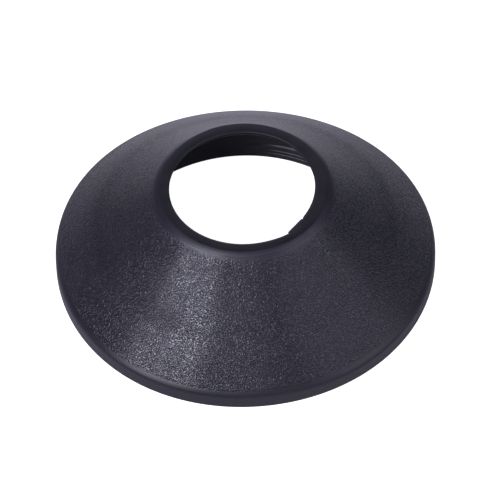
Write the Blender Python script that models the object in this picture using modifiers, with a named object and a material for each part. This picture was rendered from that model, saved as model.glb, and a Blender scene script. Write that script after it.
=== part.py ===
"""Flared toilet flange: a conical cover that stands on the floor round a waste pipe, the soft seal
round its pipe hole, the collar under it that locates on the floor socket, and its floor gasket.

The frame stands on the floor at z = 0, with +Z up the pipe and the axis of the pipe on Z.
Every piece is turned about that axis.
"""

from math import cos, radians, sin, sqrt, tan

import bpy
from mathutils import Vector

# Driving dimensions, in metres.
RIM_RADIUS = 0.055  # outside of the skirt at the floor
HEIGHT = 0.0314  # floor to the top of the pipe seal
PIPE_HOLE_RADIUS = 0.0212  # bore of the pipe seal, round a 40 mm pipe
SEAL_BAND = 0.0030  # width of the seal's smooth top band
SEAL_THICKNESS = 0.0011
SPIGOT_WALL = 0.0014  # the neck's bore is this much wider than the seal's
SPIGOT_DEPTH = 0.0014
WALL = 0.0024  # thickness of the cover
COLLAR_RADIUS = 0.0404  # inside of the collar at the floor
COLLAR_WALL = 0.0022
COLLAR_RELIEF = 0.0007  # how far the collar's bore opens out above its floor band
COLLAR_BAND_HEIGHT = 0.0050
RIB_WALL = 0.0014  # the ring under the cone that holds the collar's head
RIB_DEPTH = 0.0030
GASKET_THICKNESS = 0.0026
FIT_GAP = 0.0003  # clearance between neighbouring pieces
EDGE_ROUND = 0.0003  # radius that breaks the moulded edges

# The cone's face: where it meets the skirt's shoulder, and how steep it is on the way there.
CONE_FOOT_HEIGHT = 0.0052
CONE_FOOT_INSET = 0.0008
FACE_SLOPES = (  # share of the way out from the cone's top to its foot, steepness in degrees
    (0.00, 44.0),
    (0.10, 44.0),
    (0.20, 42.5),
    (0.42, 40.0),
    (0.58, 36.0),
    (0.70, 40.5),
    (0.84, 42.0),
    (1.00, 42.0),
)
SHOULDER_ROUND = 0.0018  # radius that turns the cone into the upright skirt
SHOULDER_TOP = 0.0036  # where the skirt stops being upright

# The moulding stub on the seal's edge, where the mould's runner was cut off.
STUB_AZIMUTH = radians(-45.5)
STUB_WIDTH = 0.0062
STUB_REACH = 0.0009  # how far it stands into the pipe hole
STUB_ROOT = 0.0012  # how deep it is buried in the band
STUB_SKEW = radians(4)
STUB_SHARE = 0.7  # its thickness, as a share of the band's

STEPS = 72  # facets round a turned piece
CONE_POINTS = 14  # profile points down each face of the cone
FACE_STRIPS = 140  # strips that the cone's face is summed up from
UNDERSIDE_POINTS = 70  # points that heights on the underside are read between

# The seal's flank carries on the slope of the neck below it, so both end up flush.
SEAL_TOP_RADIUS = PIPE_HOLE_RADIUS + SEAL_BAND
SEAL_RADIUS = SEAL_TOP_RADIUS + SEAL_THICKNESS / tan(radians(FACE_SLOPES[0][1]))
NECK_TOP = HEIGHT - SEAL_THICKNESS - FIT_GAP
CONE_TOP_RADIUS = SEAL_RADIUS + FIT_GAP
CONE_FOOT_RADIUS = RIM_RADIUS - CONE_FOOT_INSET
NECK_BORE = PIPE_HOLE_RADIUS + SPIGOT_WALL
SKIRT_INSIDE = RIM_RADIUS - WALL
COLLAR_OUTSIDE = COLLAR_RADIUS + COLLAR_WALL


def clear_scene():
    for obj in list(bpy.data.objects):
        bpy.data.objects.remove(obj, do_unlink=True)


def new_collection(name):
    collection = bpy.data.collections.new(name)
    bpy.context.scene.collection.children.link(collection)
    return collection


def plastic(name, colour, roughness):
    """A plain plastic or rubber: colour is linear RGB."""
    material = bpy.data.materials.new(name)
    material.use_nodes = True
    shader = material.node_tree.nodes["Principled BSDF"]
    shader.inputs["Base Color"].default_value = (*colour, 1.0)
    shader.inputs["Roughness"].default_value = roughness
    shader.inputs["Metallic"].default_value = 0.0
    material.diffuse_color = (*colour, 1.0)
    return material


def arc(centre, radius, start, end, count):
    """Points (r, z) round a circle, from the start angle to the end angle in degrees."""
    turns = [radians(start + (end - start) * i / count) for i in range(count + 1)]
    return [(centre[0] + radius * cos(a), centre[1] + radius * sin(a)) for a in turns]


def slope_at(share):
    """Steepness of the cone's face in radians, at a share of the way out from its top to its foot."""
    for (a, low), (b, high) in zip(FACE_SLOPES, FACE_SLOPES[1:]):
        if share <= b:
            t = (share - a) / (b - a)
            return radians(low + (high - low) * t * t * (3 - 2 * t))
    return radians(FACE_SLOPES[-1][1])


def cone_face(count, inset=0.0):
    """Points (r, z) down the cone's face, moved in by inset along its normal."""
    falls = [0.0]
    for i in range(FACE_STRIPS):
        falls.append(falls[-1] + tan(slope_at((i + 0.5) / FACE_STRIPS)))
    width = CONE_FOOT_RADIUS - CONE_TOP_RADIUS
    drop = NECK_TOP - CONE_FOOT_HEIGHT
    steepening = drop / width / (falls[-1] / FACE_STRIPS)
    points = []
    for i in range(count + 1):
        share = i / count
        fall = falls[round(share * FACE_STRIPS)] / falls[-1]
        along = Vector((1.0, -tan(slope_at(share)) * steepening)).normalized()
        place = Vector((CONE_TOP_RADIUS + width * share, NECK_TOP - drop * fall))
        place += inset * Vector((along.y, -along.x))
        points.append((place.x, place.y))
    return points


def underside_height(radius):
    """Height of the cover's underside at a radius: flat under the neck, then read off its curve."""
    inner = cone_face(UNDERSIDE_POINTS, WALL)
    if radius <= inner[0][0]:
        return inner[0][1]
    for (r0, z0), (r1, z1) in zip(inner, inner[1:]):
        if r0 <= radius <= r1:
            return z0 + (z1 - z0) * (radius - r0) / (r1 - r0)
    raise ValueError("radius is outside the cone")


def turned(name, profile, material, collection):
    """A solid turned about Z from a closed profile of (r, z) points, down its outer side first."""
    mesh = bpy.data.meshes.new(name)
    count = len(profile)
    points = [(r, 0.0, z) for r, z in profile]
    mesh.from_pydata(points, [(i, (i + 1) % count) for i in range(count)], [])
    piece = bpy.data.objects.new(name, mesh)
    piece.data.materials.append(material)
    collection.objects.link(piece)
    screw = piece.modifiers.new("turn", "SCREW")
    screw.axis = "Z"
    screw.angle = radians(360)
    screw.steps = STEPS
    screw.render_steps = STEPS
    screw.use_merge_vertices = True
    screw.merge_threshold = 0.00001
    screw.use_smooth_shade = True
    return piece


def collar_rib():
    """The short ring under the cone that the collar's head plugs into, from its outside inwards."""
    inside = COLLAR_OUTSIDE + FIT_GAP
    outside = inside + RIB_WALL
    end = underside_height(inside) - RIB_DEPTH
    draft = 0.0001
    return [
        (outside, underside_height(outside)),
        (outside - draft, end),
        (inside, end),
        (inside, underside_height(inside)),
    ]


def cover_profile():
    """Cone, rounded shoulder, skirt and foot outside, then the hollow underside with its collar rib."""
    rib = collar_rib()
    clear = EDGE_ROUND  # keeps the curve's own points off the rib's corners
    corner = SKIRT_INSIDE - 0.0010  # where the underside's curve turns down into the skirt
    inner = [p for p in reversed(cone_face(CONE_POINTS, WALL)) if NECK_BORE < p[0] < corner]
    return [
        *cone_face(CONE_POINTS),
        *arc((RIM_RADIUS - SHOULDER_ROUND, SHOULDER_TOP), SHOULDER_ROUND, 42, 0, 4),
        *arc((RIM_RADIUS - EDGE_ROUND, EDGE_ROUND), EDGE_ROUND, 0, -90, 2),
        *arc((SKIRT_INSIDE + EDGE_ROUND, EDGE_ROUND), EDGE_ROUND, -90, -180, 2),
        (SKIRT_INSIDE, SHOULDER_TOP - 0.0008),
        (corner, underside_height(corner)),
        *[p for p in inner if p[0] > rib[0][0] + clear],
        *rib,
        *[p for p in inner if p[0] < rib[-1][0] - clear],
        (NECK_BORE, underside_height(NECK_BORE)),
        (NECK_BORE, NECK_TOP),
    ]


def seal_profile():
    """Flat band over the neck's rim, and a short spigot in the neck that thins away downwards."""
    spigot = NECK_BORE - FIT_GAP
    band_foot = NECK_TOP + FIT_GAP
    top = HEIGHT - EDGE_ROUND
    return [
        (SEAL_TOP_RADIUS, HEIGHT),
        (SEAL_RADIUS, band_foot),
        (spigot, band_foot),
        (spigot, band_foot - SPIGOT_DEPTH),
        (PIPE_HOLE_RADIUS, band_foot),
        *arc((PIPE_HOLE_RADIUS + EDGE_ROUND, top), EDGE_ROUND, 180, 90, 3),
    ]


def collar_profile():
    """Plain outside, a head that follows the cover's underside, and a thicker band at the floor."""
    relieved = COLLAR_RADIUS + COLLAR_RELIEF
    return [
        (relieved, underside_height(relieved) - FIT_GAP),
        (COLLAR_OUTSIDE, underside_height(COLLAR_OUTSIDE) - FIT_GAP),
        (COLLAR_OUTSIDE, EDGE_ROUND),
        (COLLAR_OUTSIDE - EDGE_ROUND, 0.0),
        (COLLAR_RADIUS + EDGE_ROUND, 0.0),
        (COLLAR_RADIUS, EDGE_ROUND),
        (COLLAR_RADIUS, COLLAR_BAND_HEIGHT),
        (relieved, COLLAR_BAND_HEIGHT + EDGE_ROUND),
    ]


def gasket_profile():
    """Flat ring that fills the foot of the flange between the collar and the skirt."""
    inside = COLLAR_OUTSIDE + FIT_GAP
    outside = SKIRT_INSIDE - FIT_GAP
    return [
        (inside, GASKET_THICKNESS),
        (outside, GASKET_THICKNESS),
        (outside, 0.0),
        (inside, 0.0),
    ]


def add_stub(seal, cutters):
    """Joins the cut-off moulding stub to the edge of the pipe hole."""
    depth = STUB_REACH + STUB_ROOT
    chord_drop = PIPE_HOLE_RADIUS - sqrt(PIPE_HOLE_RADIUS**2 - (STUB_WIDTH / 2) ** 2)
    radius = PIPE_HOLE_RADIUS - STUB_REACH + depth / 2 + chord_drop / 2
    bpy.ops.mesh.primitive_cube_add(size=1.0)
    block = bpy.context.object
    block.name = "stub_block"
    block.dimensions = (depth, STUB_WIDTH, SEAL_THICKNESS * STUB_SHARE)
    block.location = (radius * cos(STUB_AZIMUTH), radius * sin(STUB_AZIMUTH), HEIGHT - SEAL_THICKNESS / 2)
    block.rotation_euler = (0.0, 0.0, STUB_AZIMUTH + STUB_SKEW)
    block.hide_render = True
    block.display_type = "WIRE"
    for home in list(block.users_collection):
        home.objects.unlink(block)
    cutters.objects.link(block)
    join = seal.modifiers.new("stub", "BOOLEAN")
    join.operation = "UNION"
    join.solver = "EXACT"
    join.object = block


def main():
    clear_scene()
    flange = new_collection("toilet_flange")
    cutters = new_collection("cutters")

    cover_plastic = plastic("cover_plastic", (0.017, 0.016, 0.021), 0.55)
    seal_rubber = plastic("seal_rubber", (0.011, 0.011, 0.014), 0.60)
    collar_plastic = plastic("collar_plastic", (0.009, 0.009, 0.011), 0.22)
    gasket_foam = plastic("gasket_foam", (0.020, 0.020, 0.022), 0.90)

    turned("flared_cover", cover_profile(), cover_plastic, flange)
    seal = turned("pipe_seal", seal_profile(), seal_rubber, flange)
    add_stub(seal, cutters)
    turned("inner_collar", collar_profile(), collar_plastic, flange)
    turned("floor_gasket", gasket_profile(), gasket_foam, flange)


main()
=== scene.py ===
"""The finished look of a flared toilet flange: its grained cover, soft pipe seal, glossy collar
and floor gasket, on a pale sheet under softboxes.

Every piece is a turned mesh about Z that stands for one CAD node and takes its outer sizes from
that node's box.
"""

from math import cos, degrees, exp, pi, radians, sin, tan

import bpy
from mathutils import Matrix, Vector


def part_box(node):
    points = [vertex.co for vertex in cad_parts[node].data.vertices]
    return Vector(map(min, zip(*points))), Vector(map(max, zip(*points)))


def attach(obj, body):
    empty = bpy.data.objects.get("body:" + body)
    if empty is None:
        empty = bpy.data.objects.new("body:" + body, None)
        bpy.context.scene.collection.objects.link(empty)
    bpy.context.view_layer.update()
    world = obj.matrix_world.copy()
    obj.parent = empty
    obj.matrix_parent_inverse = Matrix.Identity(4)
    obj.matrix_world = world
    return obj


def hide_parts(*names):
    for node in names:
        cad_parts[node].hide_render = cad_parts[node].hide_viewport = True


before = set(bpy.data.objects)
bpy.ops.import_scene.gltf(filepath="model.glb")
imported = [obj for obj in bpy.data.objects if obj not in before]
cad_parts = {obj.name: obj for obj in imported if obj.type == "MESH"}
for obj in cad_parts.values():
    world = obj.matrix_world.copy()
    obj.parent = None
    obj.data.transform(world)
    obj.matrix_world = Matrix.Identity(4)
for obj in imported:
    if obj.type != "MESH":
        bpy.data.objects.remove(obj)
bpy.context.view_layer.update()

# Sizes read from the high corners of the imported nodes' boxes, in metres.
COVER_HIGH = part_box("flared_cover")[1]
SEAL_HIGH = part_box("pipe_seal")[1]
COLLAR_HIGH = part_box("inner_collar")[1]
GASKET_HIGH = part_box("floor_gasket")[1]
RIM_RADIUS = COVER_HIGH[0]
NECK_TOP = COVER_HIGH[2]
SEAL_TOP = SEAL_HIGH[2]
SEAL_RADIUS = SEAL_HIGH[0]
COLLAR_OUTSIDE = COLLAR_HIGH[0]
GASKET_OUTSIDE = GASKET_HIGH[0]
GASKET_TOP = GASKET_HIGH[2]

# The part's own dimensions that a box can't give, in metres.
PIPE_HOLE_RADIUS = 0.0212
NECK_BORE = 0.0226
WALL = 0.0024
CONE_FOOT_HEIGHT = 0.0052
CONE_FOOT_INSET = 0.0008
SHOULDER_ROUND = 0.0018
SHOULDER_CENTRE = 0.0036  # height of the centre of that round
SHOULDER_FOOT = 0.002  # height above which the shoulder is painted paler, a painted sheen
FOOT_ROUND = 0.0004
COLLAR_INSIDE = 0.0404
FIT_GAP = 0.0003
SEAL_TOP_RADIUS = 0.0242
CONE_TOP_RADIUS = SEAL_RADIUS + FIT_GAP
CONE_FOOT_RADIUS = RIM_RADIUS - CONE_FOOT_INSET
FIT_LINE = 0.00004  # the hairline that shows between pieces pushed together

# The cone's steepness in degrees, at shares of the way out from its top to its foot.
FACE_SLOPES = (
    (0.0, 44), (0.1, 44), (0.2, 42.5), (0.42, 40),
    (0.58, 36), (0.7, 40.5), (0.84, 42), (1.0, 42),
)

# The slight warp of the soft moulding round its rim: turns, swell in metres, azimuth of a crest.
RIM_WARP = [(3, 0.00030, radians(19)), (4, 0.00018, radians(-44))]
WARP_ALLOWANCE = 0.00009  # taken off all round, so that the swells stay inside the CAD's box

# The heights between which the cone's sink is full.
SINK_LOW = 0.012
SINK_HIGH = 0.022

STEPS = 540  # faces round each turned piece
CONE_FACES = 90  # faces down the cone
UNDERSIDE_FACES = 48
LOOKUP_FACES = 96  # the finer underside that heights are read off

# The camera: a long lens in front of the flange, looking down at it.
CAMERA_ELEVATION = radians(49.12)
CAMERA_ROLL = radians(1.14)
CAMERA_DISTANCE = 1.2994
CAMERA_AIM_RIGHT = 0.00143  # the point looked at, from the foot of the axis, across the view
CAMERA_AIM_UP = 0.00271
CAMERA_LENS = 324.0
SENSOR_WIDTH = 36.0


# ---------------------------------------------------------------- profiles


def smoothstep(low, high, value):
    """0 below low, 1 above high, and a smooth ramp between them."""
    t = min(max((value - low) / (high - low), 0.0), 1.0)
    return t * t * (3 - 2 * t)


def arc(centre, radius, start, end, count):
    """Points (r, z) round a circle, from the start angle to the end angle in degrees."""
    turns = [radians(start + (end - start) * i / count) for i in range(count + 1)]
    return [(centre[0] + radius * cos(a), centre[1] + radius * sin(a)) for a in turns]


def slope_at(share):
    """Steepness of the cone's face, at a share of the way out from its top to its foot."""
    for (a, low), (b, high) in zip(FACE_SLOPES, FACE_SLOPES[1:]):
        if share <= b:
            return radians(low + (high - low) * smoothstep(a, b, share))
    return radians(FACE_SLOPES[-1][1])


def cone_face(count, inset=0.0):
    """Points (r, z) down the cone's face, moved in by inset along its normal."""
    width = CONE_FOOT_RADIUS - CONE_TOP_RADIUS
    drop = NECK_TOP - CONE_FOOT_HEIGHT
    falls = [0.0]
    for i in range(count):
        falls.append(falls[-1] + tan(slope_at((i + 0.5) / count)))
    steepening = drop / width * count / falls[-1]
    points = []
    for i, fall in enumerate(falls):
        along = Vector((1.0, -tan(slope_at(i / count)) * steepening)).normalized()
        place = Vector((CONE_TOP_RADIUS + width * i / count, NECK_TOP - drop * fall / falls[-1]))
        place += inset * Vector((along.y, -along.x))
        points.append((place.x, place.y))
    return points


def underside_height(radius):
    """Height of the cover's underside at a radius: flat under the neck, then read off its curve."""
    inner = cone_face(LOOKUP_FACES, WALL)
    if radius <= inner[0][0]:
        return inner[0][1]
    for (r0, z0), (r1, z1) in zip(inner, inner[1:]):
        if r0 <= radius <= r1:
            return z0 + (z1 - z0) * (radius - r0) / (r1 - r0)
    raise ValueError("radius is outside the cone")


# ---------------------------------------------------------------- turned meshes


def turned(name, profile, marks, shift=None, crease=40):
    """A closed profile of (r, z) points turned about Z, down its outer side first.

    marks is a dict of attribute name to one value per profile point. shift(r, z, azimuth) moves a
    point, which keeps small unevenness in the mesh itself. Edges bent by more than crease degrees
    are shaded sharp.
    """
    count = len(profile)
    points = []
    for step in range(STEPS):
        azimuth = 2 * pi * step / STEPS
        for r, z in profile:
            if shift:
                r, z = shift(r, z, azimuth)
            points.append((r * cos(azimuth), r * sin(azimuth), z))
    faces = []
    for step in range(STEPS):
        here = step * count
        there = (step + 1) % STEPS * count
        for i in range(count):
            j = (i + 1) % count
            faces.append((here + i, here + j, there + j, there + i))
    mesh = bpy.data.meshes.new(name)
    mesh.from_pydata(points, [], faces)
    for mark, values in marks.items():
        attribute = mesh.attributes.new(mark, "FLOAT", "POINT")
        attribute.data.foreach_set("value", list(values) * STEPS)
    mesh.update()
    mesh.shade_smooth()
    mesh.set_sharp_from_angle(angle=radians(crease))
    piece = bpy.data.objects.new(name, mesh)
    bpy.context.scene.collection.objects.link(piece)
    return piece


def stand_for(piece, node, material):
    """Gives a piece its material and its body, and hides the CAD node that it stands for."""
    piece.data.materials.append(material)
    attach(piece, "root")
    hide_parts(node)


# ---------------------------------------------------------------- pieces


def wave(azimuth, height, turns, start):
    """A slow swell round the axis."""
    return height * sin(turns * azimuth + start)


def cover_marks(profile, cone_count):
    """Where the grain lies, where the upper shoulder gets painted sheen, and where the bare neck is,
    which gets painted sheen too.
    """
    grain = []
    edge = []
    neck = []
    for i, (r, z) in enumerate(profile):
        out = r - SEAL_TOP_RADIUS
        in_from_rim = RIM_RADIUS - r
        on_grain = smoothstep(0.0010, 0.0026, out) * smoothstep(0.0010, 0.0018, in_from_rim)
        grain.append(on_grain if i < cone_count else 0.0)
        # the upper shoulder, which is painted paler as sheen
        on_shoulder = 1 - smoothstep(0.0004, 0.0014, in_from_rim)
        edge.append(on_shoulder if z > SHOULDER_FOOT else 0.0)
        # the bare neck, which is painted paler as sheen
        neck.append(1 - smoothstep(0.0016, 0.0045, out))
    return {"grain": grain, "edge": edge, "neck": neck}


def rim_warp(azimuth):
    """How far the rim stands out from true round."""
    swells = [swell * cos(turns * (azimuth - crest)) for turns, swell, crest in RIM_WARP]
    return sum(swells) - WARP_ALLOWANCE


def cone_sink(z, azimuth):
    """How far the middle of the cone has sunk or risen in cooling; none at its foot or its neck."""
    above_foot = smoothstep(CONE_FOOT_HEIGHT, SINK_LOW, z)
    below_neck = 1 - smoothstep(SINK_HIGH, NECK_TOP - 0.001, z)
    waves = wave(azimuth, 0.00006, 3, 0.6) + wave(azimuth, 0.00004, 5, 2.1)
    return above_foot * below_neck * waves


def cover_shift(r, z, azimuth):
    """The slight warp and sink of a moulded cone that has cooled out of its mould."""
    share = max(r - CONE_TOP_RADIUS, 0.0) / (RIM_RADIUS - CONE_TOP_RADIUS)
    return r + rim_warp(azimuth) * share**2, z + cone_sink(z, azimuth)


def make_cover(material):
    """Cone, rounded skirt and foot outside, then the hollow underside with its rib."""
    cone = cone_face(CONE_FACES)
    # the neck's rim is drawn up until only a hairline is left under the seal's flank
    rise = FIT_GAP - FIT_LINE
    rim = [(NECK_BORE, NECK_TOP), (CONE_TOP_RADIUS - rise / tan(slope_at(0.0)), NECK_TOP + rise)]
    skirt_inside = RIM_RADIUS - WALL
    shoulder = arc((RIM_RADIUS - SHOULDER_ROUND, SHOULDER_CENTRE), SHOULDER_ROUND, 42, 0, 14)
    foot_out = arc((RIM_RADIUS - FOOT_ROUND, FOOT_ROUND), FOOT_ROUND, 0, -90, 6)
    foot_in = arc((skirt_inside + FOOT_ROUND, FOOT_ROUND), FOOT_ROUND, -90, -180, 6)
    skirt_top = [(skirt_inside, SHOULDER_CENTRE - 0.0008)]
    under = reversed(cone_face(UNDERSIDE_FACES, WALL))
    inner = [p for p in under if NECK_BORE < p[0] < skirt_inside - 0.001]
    rib = collar_rib()
    clear = 0.0004  # keeps the underside's own points off the rib's corners
    outer_part = [p for p in inner if p[0] > rib[0][0] + clear]
    inner_part = [p for p in inner if p[0] < rib[-1][0] - clear]
    neck_foot = [(NECK_BORE, underside_height(NECK_BORE))]
    profile = cone + shoulder + foot_out + foot_in + skirt_top + outer_part + rib + inner_part
    profile += neck_foot + rim
    piece = turned("cover_moulding", profile, cover_marks(profile, len(cone)), cover_shift)
    stand_for(piece, "flared_cover", material)


def collar_rib():
    """The short ring under the cone that the collar's head plugs into, from its outside inwards."""
    thickness = 0.0014
    depth = 0.0030
    draft = 0.0001
    inside = COLLAR_OUTSIDE + FIT_GAP
    outside = inside + thickness
    end = underside_height(inside) - depth
    return [
        (outside, underside_height(outside)),
        (outside - draft, end),
        (inside, end),
        (inside, underside_height(inside)),
    ]


STUB_START = -54.0  # azimuths of the cut-off moulding stub, in degrees
STUB_END = -37.0
STUB_START_RADIUS = 0.0209
STUB_END_RADIUS = 0.0201
SWELL_AZIMUTH = -25.0  # middle of the inward swell past the stub, and its reach to either side
SWELL_REACH = 95.0


def stub_radius(azimuth):
    """Radius of the straight cut across the stub."""
    start, end = radians(STUB_START), radians(STUB_END)
    a = Vector((STUB_START_RADIUS * cos(start), STUB_START_RADIUS * sin(start)))
    b = Vector((STUB_END_RADIUS * cos(end), STUB_END_RADIUS * sin(end)))
    ray = Vector((cos(azimuth), sin(azimuth)))
    cut = b - a
    return (a.x * cut.y - a.y * cut.x) / (ray.x * cut.y - ray.y * cut.x)


def turn_from(azimuth, start):
    """How far round an azimuth in radians is from a start in degrees, from -180 to 180 degrees."""
    return (degrees(azimuth) - start + 180) % 360 - 180


def bore_radius(azimuth):
    """Radius of the soft bore, a little wide on one side of the stub and narrow on the other."""
    relaxed = PIPE_HOLE_RADIUS - 0.00012
    turn = turn_from(azimuth, 0)
    if STUB_START <= turn <= STUB_END:
        return stub_radius(azimuth)
    if turn < STUB_START:
        return relaxed + 0.00034 * exp(-(((turn - STUB_START) / 12.4) ** 2))
    swell = 0.00098 * cos(pi / 2 * min(abs(turn - SWELL_AZIMUTH) / SWELL_REACH, 1.0)) ** 2
    notch = 0.00030 * exp(-(((turn - STUB_END) / 2.2) ** 2))
    return relaxed - swell + notch


def seal_shift(r, z, azimuth):
    """Moves the bore side of the seal to its uneven edge and its brim a little out of round, and
    lowers the stub's cut face a little."""
    nearness = 1 - smoothstep(PIPE_HOLE_RADIUS, PIPE_HOLE_RADIUS + 0.0016, r)
    reach = bore_radius(azimuth) - PIPE_HOLE_RADIUS
    turn = turn_from(azimuth, 0)
    past_start = smoothstep(STUB_START - 1, STUB_START + 1, turn)
    before_end = 1 - smoothstep(STUB_END - 1, STUB_END + 1, turn)
    on_stub = past_start * before_end
    drop = 0.00006 * on_stub * nearness if z > SEAL_TOP - 0.0006 else 0.0
    brim = smoothstep(SEAL_TOP_RADIUS - 0.0006, SEAL_TOP_RADIUS, r) if z > SEAL_TOP - 0.0003 else 0.0
    oval = 0.00035 * max(sin(azimuth), 0.0) ** 2 - 0.00015 * cos(azimuth) ** 2
    return r + reach * nearness + oval * brim, z - drop


def make_seal(material):
    """Smooth, faintly domed band with a rounded bore edge, and a spigot that thins downwards."""
    spigot = NECK_BORE - FIT_GAP
    spigot_length = 0.0014
    band_foot = NECK_TOP + FIT_GAP
    outer_edge = [(SEAL_TOP_RADIUS, SEAL_TOP - 0.00010)]
    soft = 0.00035
    start = PIPE_HOLE_RADIUS + soft
    inner_edge = arc((start, SEAL_TOP - soft - 0.00008), soft, 180, 100, 6)
    crest = PIPE_HOLE_RADIUS + 0.0015
    count = 14
    across = [start + (SEAL_TOP_RADIUS - start) * i / count for i in range(1, count)]
    top = [(r, SEAL_TOP - 0.00006 * ((r - crest) / 0.0013) ** 2) for r in across]
    foot = [
        (SEAL_RADIUS, band_foot),
        (spigot, band_foot),
        (spigot, band_foot - spigot_length),
        (PIPE_HOLE_RADIUS + 0.0001, band_foot),
    ]
    profile = outer_edge + foot + inner_edge + top
    # the rounded bore edge, which gets a painted highlight
    edge = [1.0 if abs(r - PIPE_HOLE_RADIUS) < 0.0003 else 0.0 for r, z in profile]
    # the outer flank, which gets painted sheen
    flank = [1.0 if r >= SEAL_TOP_RADIUS else 0.0 for r, z in profile]
    piece = turned("seal_ring", profile, {"edge": edge, "flank": flank}, seal_shift)
    stand_for(piece, "pipe_seal", material)


# Where the collar's bore opens out in steps: height and width of each, in metres.
COLLAR_STEPS = [(0.0019, 0.00012), (0.0031, 0.00014), (0.0050, 0.00044)]
COLLAR_RELIEF = sum(width for height, width in COLLAR_STEPS)
STEP_STEEPNESS = tan(radians(40))
STEPS_AZIMUTH = 48  # degrees: the middle of the side on which the steps are crisp
RELIEF_FOOT = 0.001  # the heights between which the plain wall on the other side opens out
RELIEF_TOP = 0.016


def collar_shift(r, z, azimuth):
    """The collar's slight dent, and its steps: crisp on one side and drawn out on the rest."""
    shrink = 0.00020
    dent = 0.00034 * max(cos(azimuth - radians(148)), 0.0) ** 4
    on_bore = r < COLLAR_INSIDE + COLLAR_RELIEF + FIT_LINE
    if on_bore and z > RELIEF_FOOT:
        drawn_out = smoothstep(22, 48, abs(turn_from(azimuth, STEPS_AZIMUTH)))
        plain = COLLAR_INSIDE + COLLAR_RELIEF * smoothstep(RELIEF_FOOT, RELIEF_TOP, z)
        r += (plain - r) * drawn_out
    return r - shrink - dent, z + cone_sink(z, azimuth)


def make_collar(material):
    """Glossy collar: a head that follows the cover, fine steps in the bore and a thicker foot."""
    thin_inside = COLLAR_INSIDE + COLLAR_RELIEF
    hairline = 0.00003
    soft = 0.0003
    head = [
        (thin_inside, underside_height(thin_inside) - hairline),
        (COLLAR_OUTSIDE, underside_height(COLLAR_OUTSIDE) - hairline),
    ]
    foot_out = arc((COLLAR_OUTSIDE - soft, soft), soft, 0, -90, 12)
    foot_in = arc((COLLAR_INSIDE + soft, soft), soft, -90, -180, 12)
    steps = []
    reach = COLLAR_INSIDE
    for height, width in COLLAR_STEPS:
        rise = width * STEP_STEEPNESS
        steps += [(reach, height - rise / 2), (reach + width, height + rise / 2)]
        reach += width
    profile = head + foot_out + foot_in + steps
    # a low crease angle, because the steps flatten out gradually round the bore
    piece = turned("collar_moulding", profile, {}, collar_shift, crease=9)
    stand_for(piece, "inner_collar", material)


def make_gasket(material):
    """Closed-cell foam ring with soft edges."""
    inside = COLLAR_OUTSIDE + FIT_GAP
    outside = GASKET_OUTSIDE - 0.0003  # leaves room for the skirt's warp
    soft = 0.0005
    corners = [
        arc((inside + soft, GASKET_TOP - soft), soft, 180, 90, 5),
        arc((outside - soft, GASKET_TOP - soft), soft, 90, 0, 5),
        arc((outside - soft, soft), soft, 0, -90, 5),
        arc((inside + soft, soft), soft, -90, -180, 5),
    ]
    profile = [point for corner in corners for point in corner]
    piece = turned("gasket_foam_ring", profile, {})
    stand_for(piece, "floor_gasket", material)


# ---------------------------------------------------------------- materials


class Look:
    """A Principled material and the few nodes that every material here is made of."""

    def __init__(self, name, specular=0.5):
        self.material = bpy.data.materials.new(name)
        self.material.use_nodes = True
        self.tree = self.material.node_tree
        self.shader = self.tree.nodes["Principled BSDF"]
        self.shader.inputs["Specular IOR Level"].default_value = specular
        self.place = self.tree.nodes.new("ShaderNodeTexCoord").outputs["Object"]

    def noise(self, scale, detail=2.0, distortion=0.0):
        node = self.tree.nodes.new("ShaderNodeTexNoise")
        node.inputs["Scale"].default_value = scale
        node.inputs["Detail"].default_value = detail
        node.inputs["Distortion"].default_value = distortion
        self.tree.links.new(self.place, node.inputs["Vector"])
        return node.outputs["Fac"]

    def math(self, operation, first, second=0.0, third=0.0):
        node = self.tree.nodes.new("ShaderNodeMath")
        node.operation = operation
        for socket, value in zip(node.inputs, (first, second, third)):
            if isinstance(value, (int, float)):
                socket.default_value = value
            else:
                self.tree.links.new(value, socket)
        return node.outputs["Value"]

    def spread(self, value, low, high, start=0.0, end=1.0):
        """Maps start..end of a value onto low..high, clamped."""
        node = self.tree.nodes.new("ShaderNodeMapRange")
        self.tree.links.new(value, node.inputs["Value"])
        node.inputs["From Min"].default_value = start
        node.inputs["From Max"].default_value = end
        node.inputs["To Min"].default_value = low
        node.inputs["To Max"].default_value = high
        return node.outputs["Result"]

    def drift(self, cloud, low, high):
        """Wanders slowly from low to high over the surface."""
        return self.spread(cloud, low, high, *CLOUD_RANGE)

    def tinted(self, cloud, dark, pale):
        """Wanders slowly from a dark to a pale colour over the surface."""
        return self.blend_colours(self.drift(cloud, 0.0, 1.0), dark, pale)

    def lay_painted_light(self, under, mark, share, pale):
        """Lays a share of a paler colour over another where a mark is, as painted light."""
        return self.blend_colours(self.math("MULTIPLY", mark, share), under, pale)

    def mark(self, name):
        node = self.tree.nodes.new("ShaderNodeAttribute")
        node.attribute_name = name
        return node.outputs["Fac"]

    def blend_colours(self, amount, first, second):
        node = self.tree.nodes.new("ShaderNodeMix")
        node.data_type = "RGBA"
        self.tree.links.new(amount, node.inputs["Factor"])
        for socket, colour in zip(node.inputs[6:8], (first, second)):
            if isinstance(colour, tuple):
                socket.default_value = (*colour, 1.0)
            else:
                self.tree.links.new(colour, socket)
        return node.outputs[2]

    def bump(self, height, distance, under=None):
        node = self.tree.nodes.new("ShaderNodeBump")
        node.inputs["Strength"].default_value = 1.0
        node.inputs["Distance"].default_value = distance
        self.tree.links.new(height, node.inputs["Height"])
        if under:
            self.tree.links.new(under, node.inputs["Normal"])
        return node.outputs["Normal"]

    def finish(self, colour, roughness, normal):
        for name, value in (("Base Color", colour), ("Roughness", roughness), ("Normal", normal)):
            self.tree.links.new(value, self.shader.inputs[name])
        return self.material


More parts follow.
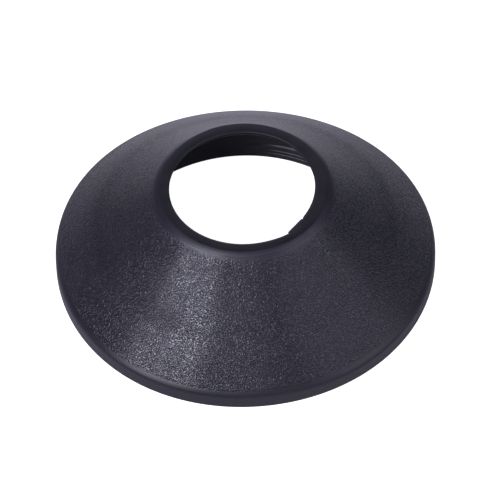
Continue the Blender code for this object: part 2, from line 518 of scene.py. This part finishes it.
GRAIN_SCALE = 2300.0  # noise cells per metre, which is 0.43 mm a cell
GRAIN_HEIGHT = 0.00008
NECK_SHEEN_COLOUR = (0.023, 0.022, 0.033)  # the ungrained neck, painted a little paler: painted sheen
CLOUD_RANGE = (0.35, 0.65)  # the part of a slow noise that is spread over a colour or a gloss


def cover_material():
    """Black moulded plastic with a fine grain on the cone and a smooth skirt."""
    look = Look("cover_plastic")
    grain = look.mark("grain")
    cells = look.noise(GRAIN_SCALE, 0.0, 0.25)
    tops = look.spread(cells, 0.0, 1.0, 0.36, 0.64)
    ridges = look.math("MULTIPLY", tops, grain)
    slow = look.noise(45.0, 3.0)
    tint = look.tinted(slow, (0.010, 0.010, 0.016), (0.015, 0.014, 0.023))
    # paler grain tops: a painted glint of the grain's facets
    with_grain_glints = look.lay_painted_light(tint, ridges, 0.4, (0.032, 0.031, 0.046))
    # paler upper shoulder: painted sheen
    with_painted_sheen = look.lay_painted_light(with_grain_glints, look.mark("edge"), 0.25, (0.040, 0.039, 0.050))
    # paler bare neck: painted sheen
    with_painted_sheen = look.blend_colours(look.mark("neck"), with_painted_sheen, NECK_SHEEN_COLOUR)
    smooth = look.drift(slow, 0.36, 0.40)
    rough = look.math("MULTIPLY_ADD", grain, look.spread(tops, -0.06, -0.18), smooth)
    fine = look.noise(4200.0, 1.0)
    normal = look.bump(ridges, GRAIN_HEIGHT, look.bump(fine, 0.000004))
    return look.finish(with_painted_sheen, rough, normal)


def seal_material():
    """Soft black rubber with a faint bloom, a painted highlight on its bore edge and painted sheen
    on its outer flank.
    """
    look = Look("seal_rubber")
    slow = look.noise(160.0, 3.0)
    tint = look.tinted(slow, (0.009, 0.009, 0.014), (0.014, 0.013, 0.020))
    flank = look.mark("flank")
    # paler outer flank: painted sheen, as on the cover's neck
    shoulder = look.blend_colours(flank, tint, NECK_SHEEN_COLOUR)
    # paler bore edge: a painted highlight
    with_painted_sheen = look.lay_painted_light(shoulder, look.mark("edge"), 0.3, (0.030, 0.030, 0.035))
    rough = look.math("MULTIPLY_ADD", flank, -0.13, look.drift(slow, 0.46, 0.56))
    normal = look.bump(look.noise(2600.0, 2.0), 0.000006)
    return look.finish(with_painted_sheen, rough, normal)


def collar_material():
    """Glossy moulded plastic with a very slight unevenness."""
    look = Look("collar_plastic")
    slow = look.noise(120.0, 2.0)
    tint = look.tinted(slow, (0.028, 0.028, 0.034), (0.034, 0.034, 0.040))
    rough = look.drift(slow, 0.33, 0.41)
    normal = look.bump(look.noise(900.0, 2.0), 0.000008)
    return look.finish(tint, rough, normal)


def gasket_material():
    """Closed-cell foam."""
    look = Look("gasket_foam", 0.3)
    slow = look.noise(200.0, 3.0)
    tint = look.tinted(slow, (0.016, 0.016, 0.018), (0.026, 0.026, 0.029))
    rough = look.drift(slow, 0.82, 0.95)
    normal = look.bump(look.noise(1800.0, 3.0), 0.00012)
    return look.finish(tint, rough, normal)


# ---------------------------------------------------------------- stage, lights and camera


def stage_material(name, colour, glow):
    """Pale card, which can glow evenly."""
    look = Look(name)
    cloud = look.noise(6.0, 2.0)
    tint = look.blend_colours(cloud, colour, tuple(c * 0.985 for c in colour))
    look.shader.inputs["Emission Color"].default_value = (1.0, 1.0, 1.0, 1.0)
    look.shader.inputs["Emission Strength"].default_value = glow
    return look.finish(tint, look.spread(cloud, 0.88, 0.92), look.bump(cloud, 0.00001))


def make_floor(name, height, material):
    """A wide sheet under the flange."""
    half = 1.5
    corners = [(-half, -half), (half, -half), (half, half), (-half, half)]
    mesh = bpy.data.meshes.new(name)
    mesh.from_pydata([(x, y, height) for x, y in corners], [], [(0, 1, 2, 3)])
    mesh.materials.append(material)
    floor = bpy.data.objects.new(name, mesh)
    bpy.context.scene.collection.objects.link(floor)
    return floor


COOL_WHITE = (0.965, 0.95, 1.15)  # of the lights and the world, a little to the blue
CARD_GREY = (0.8, 0.8, 0.8)
WORLD_STRENGTH = 0.079
LIGHT_DISTANCE = 1.0  # metres from the foot of the flange's axis

# The softboxes: name, azimuth, elevation, size in metres and power in watts.
LIGHTS = [
    ("key_low", -150, 35, 0.27, 2.45),
    ("key_high", -131, 47, 0.27, 3.0),
    ("right", -22, 36, 0.8, 2.65),
    ("back_low", 93, 9, 0.35, 2.18),
    ("front_high", -92, 50, 0.4, 0.80),
    ("front_low", -80, 9, 0.3, 0.14),
]


def make_light(name, azimuth, elevation, size, power):
    """A square softbox aimed at the flange. Angles are in degrees, azimuth 0 along +X."""
    data = bpy.data.lights.new(name, "AREA")
    data.shape = "SQUARE"
    data.size = size
    data.energy = power
    data.color = COOL_WHITE
    light = bpy.data.objects.new(name, data)
    a, e = radians(azimuth), radians(elevation)
    place = LIGHT_DISTANCE * Vector((cos(e) * cos(a), cos(e) * sin(a), sin(e)))
    light.location = place
    light.rotation_euler = (-place).to_track_quat("-Z", "Y").to_euler()
    bpy.context.scene.collection.objects.link(light)


def make_camera():
    """Looks down at the flange from the front, a little rolled."""
    data = bpy.data.cameras.new("camera")
    data.lens = CAMERA_LENS
    data.sensor_width = SENSOR_WIDTH
    data.clip_end = 20.0
    turn = Matrix.Rotation(pi / 2 - CAMERA_ELEVATION, 4, "X") @ Matrix.Rotation(-CAMERA_ROLL, 4, "Z")
    offset = Vector((CAMERA_AIM_RIGHT, CAMERA_AIM_UP, CAMERA_DISTANCE))
    camera = bpy.data.objects.new("camera", data)
    camera.matrix_world = turn @ Matrix.Translation(offset)
    bpy.context.scene.collection.objects.link(camera)
    bpy.context.scene.camera = camera


def make_world(strength):
    """Even light from all round."""
    world = bpy.data.worlds.new("studio")
    world.use_nodes = True
    background = world.node_tree.nodes["Background"]
    background.inputs["Color"].default_value = (*COOL_WHITE, 1.0)
    background.inputs["Strength"].default_value = strength
    bpy.context.scene.world = world


def make_studio():
    """The floor, the softboxes and the world."""
    # the card throws light back up, and the sheet just over it is what the camera sees
    bounce = make_floor("floor_bounce", -0.0002, stage_material("bounce_card", CARD_GREY, 0.0))
    bounce.visible_camera = False
    sheet = make_floor("floor_sheet", -0.0001, stage_material("white_sheet", CARD_GREY, 1.0))
    sheet.visible_diffuse = False
    sheet.visible_glossy = False
    sheet.visible_shadow = False
    for light in LIGHTS:
        make_light(*light)
    make_world(WORLD_STRENGTH)
    bpy.context.scene.view_settings.view_transform = "Standard"


def main():
    make_cover(cover_material())
    make_seal(seal_material())
    make_collar(collar_material())
    make_gasket(gasket_material())
    make_camera()
    make_studio()


main()
